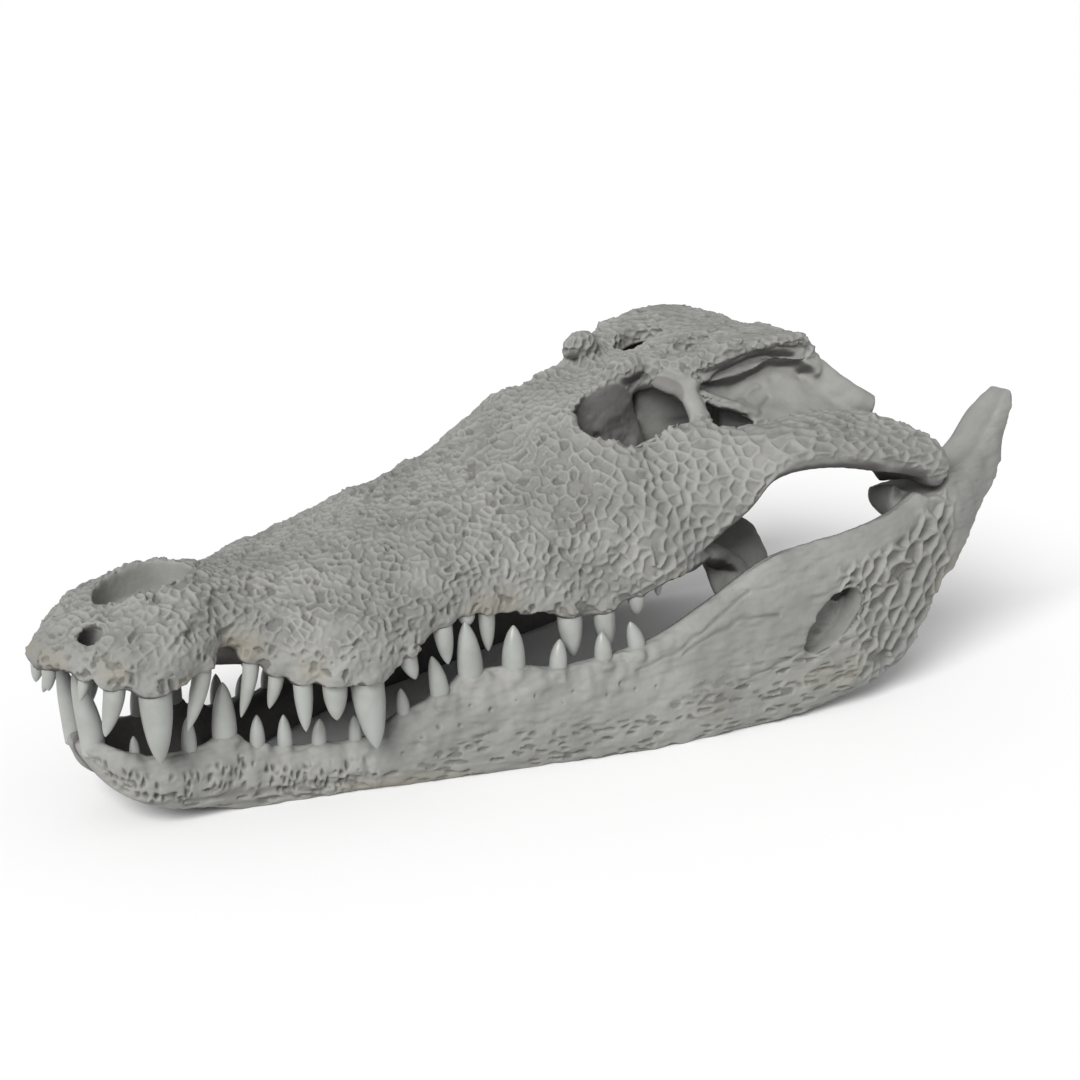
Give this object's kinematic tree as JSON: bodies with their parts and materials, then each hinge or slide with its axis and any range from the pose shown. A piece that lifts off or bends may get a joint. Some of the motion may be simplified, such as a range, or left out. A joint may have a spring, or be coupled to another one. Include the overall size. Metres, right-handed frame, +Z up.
{
  "type": "crocodile skull",
  "caption": "Life-size crocodile skull with its lower jaw, resting on the jaw with the mouth slightly open, as a still display model.",
  "frame": {"origin": "middle of the floor rectangle that the skull covers, at floor level", "axes": "-X towards the snout tip, -Y towards the animal's left, +Z up"},
  "size_m": [0.6039, 0.2508, 0.215],
  "materials": {
    "bone": "dry weathered bone, pale grey, pitted, dull",
    "teeth": "tooth enamel, greyish ivory, satin"
  },
  "bodies": {
    "root": {"snout": "bone", "left_cheek": "bone", "right_cheek": "bone", "braincase": "bone", "jaw_left": "bone", "jaw_right": "bone"}
  },
  "joints": []
}
